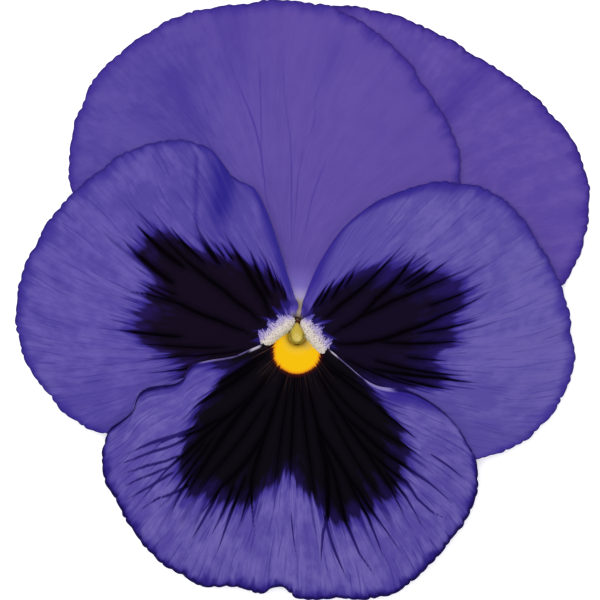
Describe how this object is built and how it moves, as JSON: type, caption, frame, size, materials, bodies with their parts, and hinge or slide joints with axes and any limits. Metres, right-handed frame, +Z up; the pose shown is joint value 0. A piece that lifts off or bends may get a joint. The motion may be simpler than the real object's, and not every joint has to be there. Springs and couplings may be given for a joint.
{
  "type": "pansy flower",
  "caption": "Open violet pansy bloom lying face up, with overlapping rounded petals, a dark blotched face, a yellow eye, a green calyx and a short bent stem.",
  "frame": {"origin": "on the table, under the middle of the flower's bounding box", "axes": "+Z up from the table through the face of the flower, its shortest extent; +Y from the throat towards the upper petals, its longest extent; +X to the viewer's right when the flower is seen from above with the upper petals at the top"},
  "size_m": [0.075, 0.0784, 0.0143],
  "materials": {
    "petal": "satin",
    "sepal": "satin",
    "stem": "satin",
    "stamen": "matte",
    "pistil": "satin"
  },
  "bodies": {
    "root": {"petal_upper_left": "petal", "petal_upper_right": "petal", "petal_side_left": "petal", "petal_side_right": "petal", "petal_lower": "petal", "sepal_top": "sepal", "sepal_upper_left": "sepal", "sepal_upper_right": "sepal", "sepal_lower_left": "sepal", "sepal_lower_right": "sepal", "pedicel": "stem", "stamens": "stamen", "pistil": "pistil"}
  },
  "joints": []
}
